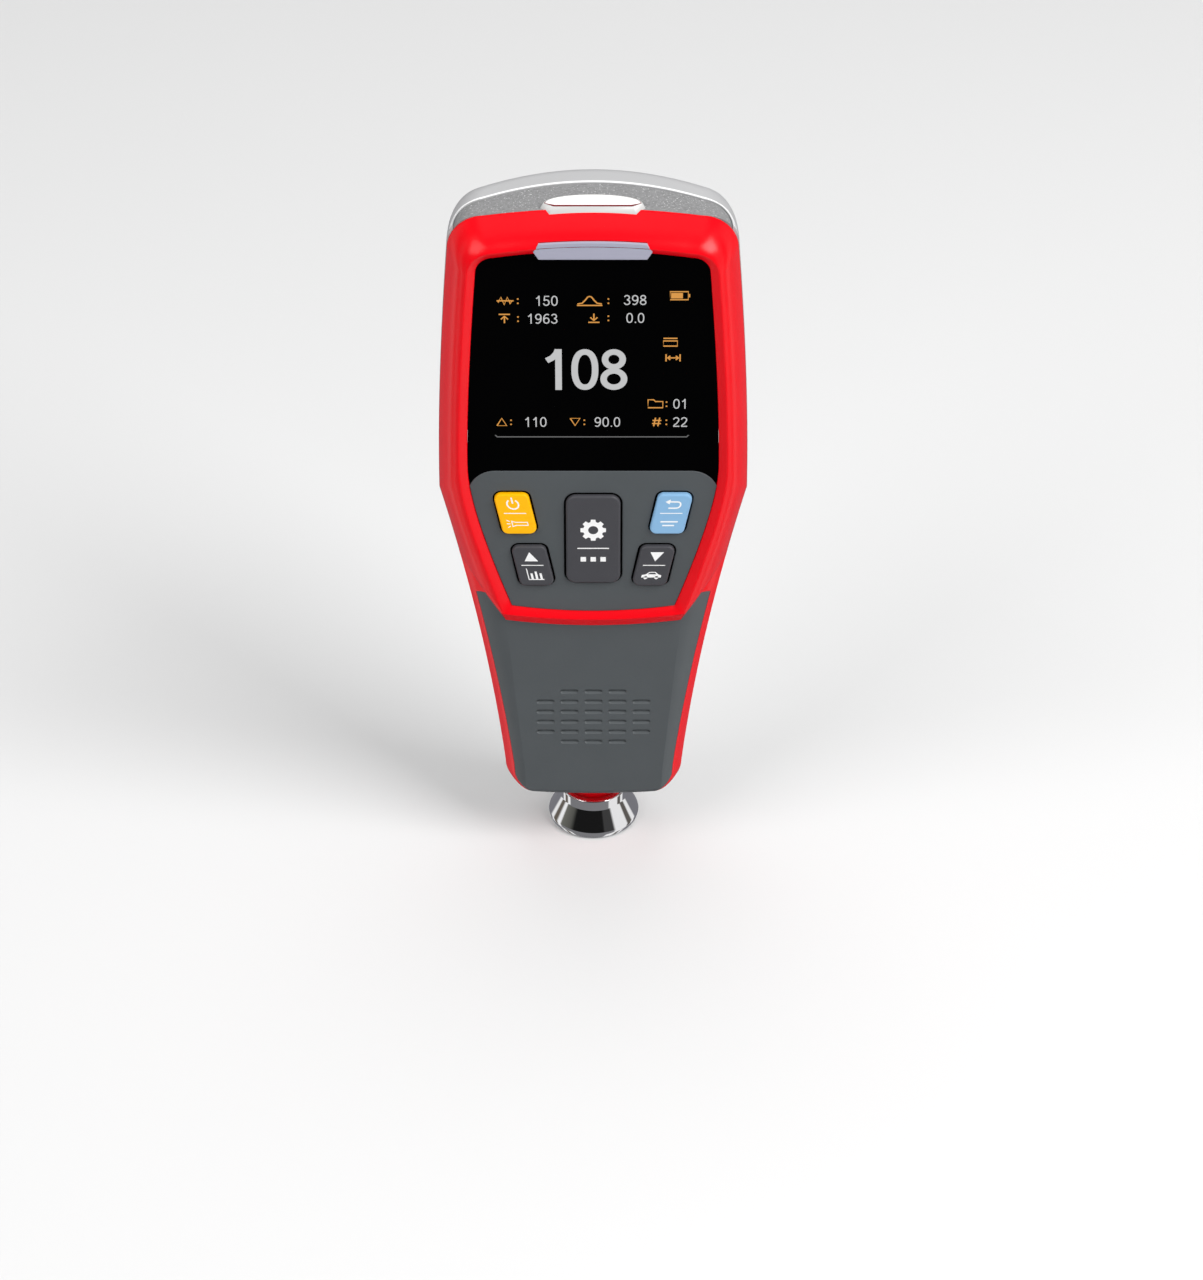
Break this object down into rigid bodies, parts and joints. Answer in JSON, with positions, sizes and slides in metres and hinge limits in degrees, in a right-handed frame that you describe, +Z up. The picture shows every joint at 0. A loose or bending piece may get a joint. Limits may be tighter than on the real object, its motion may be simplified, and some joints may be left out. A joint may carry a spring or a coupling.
{
  "type": "coating thickness gauge",
  "caption": "Hand-held coating thickness gauge with a wide display head, a tapered handle and a sprung probe in a flared chrome foot that it stands on.",
  "frame": {"origin": "centre of the foot's contact face, which is also the middle of the box's underside", "axes": "+Z up along the probe axis, -Y out of the display, +X to the right as the display is read"},
  "size_m": [0.068, 0.03, 0.1695],
  "materials": {
    "red": "glossy",
    "pale_grey": "satin",
    "silver": "metallic grain",
    "white_lens": "glossy",
    "black_gloss": "mirror-smooth",
    "light_bar": "satin",
    "dark_grey": "satin",
    "yellow": "satin",
    "blue": "satin",
    "charcoal": "satin",
    "chrome": "polished",
    "steel": "bright",
    "board": "lacquered",
    "black": "matt",
    "copper": "enamelled wire",
    "cell": "printed sleeve",
    "led": "clear"
  },
  "bodies": {
    "housing": {"front_shell": "red", "back_shell": "pale_grey", "top_cap": "silver", "torch_lens": "white_lens", "display_window": "black_gloss", "status_bar": "light_bar", "keypad_panel": "dark_grey", "grip_panel": "dark_grey", "cell_left": "cell", "cell_right": "cell", "contact_springs": "steel", "contact_plates": "steel", "main_board": "board", "display_module": "black", "key_domes": "steel", "status_leds": "led", "torch_led": "led", "buzzer": "black", "case_screws": "steel", "probe_stem": "red", "probe_foot": "chrome", "probe_spring": "steel", "probe_cap": "black"},
    "power_key": {"power_key": "yellow"},
    "clear_key": {"clear_key": "blue"},
    "cal_key": {"cal_key": "charcoal"},
    "up_key": {"up_key": "charcoal"},
    "down_key": {"down_key": "charcoal"},
    "battery_door": {"battery_door": "pale_grey"},
    "probe": {"probe_tip": "black", "probe_core": "steel", "probe_coil": "copper"}
  },
  "joints": [
    {"name": "power_key_press", "type": "slide", "parent": "housing", "child": "power_key", "axis": [0, 1, 0], "range_m": [0, 0.0006], "stiffness_N_per_m": 900, "springref_m": -0.0005},
    {"name": "clear_key_press", "type": "slide", "parent": "housing", "child": "clear_key", "axis": [0, 1, 0], "range_m": [0, 0.0006], "stiffness_N_per_m": 900, "springref_m": -0.0005},
    {"name": "cal_key_press", "type": "slide", "parent": "housing", "child": "cal_key", "axis": [0, 1, 0], "range_m": [0, 0.0006], "stiffness_N_per_m": 900, "springref_m": -0.0005},
    {"name": "up_key_press", "type": "slide", "parent": "housing", "child": "up_key", "axis": [0, 1, 0], "range_m": [0, 0.0006], "stiffness_N_per_m": 900, "springref_m": -0.0005},
    {"name": "down_key_press", "type": "slide", "parent": "housing", "child": "down_key", "axis": [0, 1, 0], "range_m": [0, 0.0006], "stiffness_N_per_m": 900, "springref_m": -0.0005},
    {"name": "battery_door_hinge", "type": "hinge", "parent": "housing", "child": "battery_door", "pos_m": [0, 0.0108, 0.0399], "axis": [-1, 0, 0], "range_deg": [0, 75]},
    {"name": "probe_slide", "type": "slide", "parent": "housing", "child": "probe", "axis": [0, 0, 1], "range_m": [0, 0.0015], "stiffness_N_per_m": 400, "springref_m": -0.003, "deforming": ["probe_spring"]}
  ]
}
